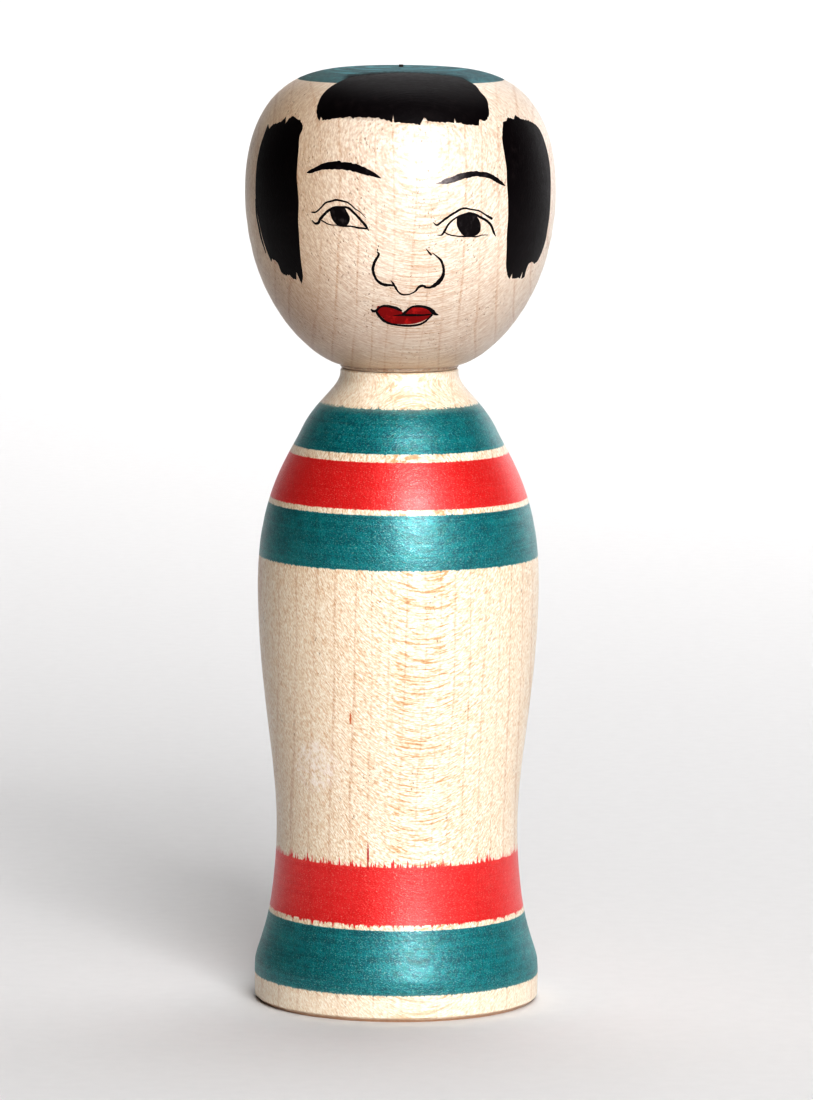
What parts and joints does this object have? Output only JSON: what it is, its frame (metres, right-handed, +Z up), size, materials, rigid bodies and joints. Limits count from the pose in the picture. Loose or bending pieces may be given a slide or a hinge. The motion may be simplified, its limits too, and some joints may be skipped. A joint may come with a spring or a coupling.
{
  "type": "kokeshi doll",
  "caption": "Lathe-turned wooden kokeshi doll with a flared foot, banded body and a painted head that turns on its neck.",
  "frame": {"origin": "centre of the underside of the foot, where the doll stands", "axes": "+Z up along the turning axis; the painted face looks along -Y at rest; +X is to the right seen from the front"},
  "size_m": [0.05, 0.05, 0.1522],
  "materials": {
    "body_wood": "waxed pale wood with bands of red and blue-green dye",
    "head_wood": "waxed pale wood with a blue-green dyed crown",
    "black_ink": "brushed black sumi ink, satin under wax",
    "red_ink": "brushed red dye, satin under wax"
  },
  "bodies": {
    "body": {"body": "body_wood"},
    "head": {"head": "head_wood"}
  },
  "joints": [
    {"name": "head_turn", "type": "hinge", "parent": "body", "child": "head", "pos_m": [0, 0, 0.1032], "axis": [0, 0, 1], "continuous": true}
  ]
}
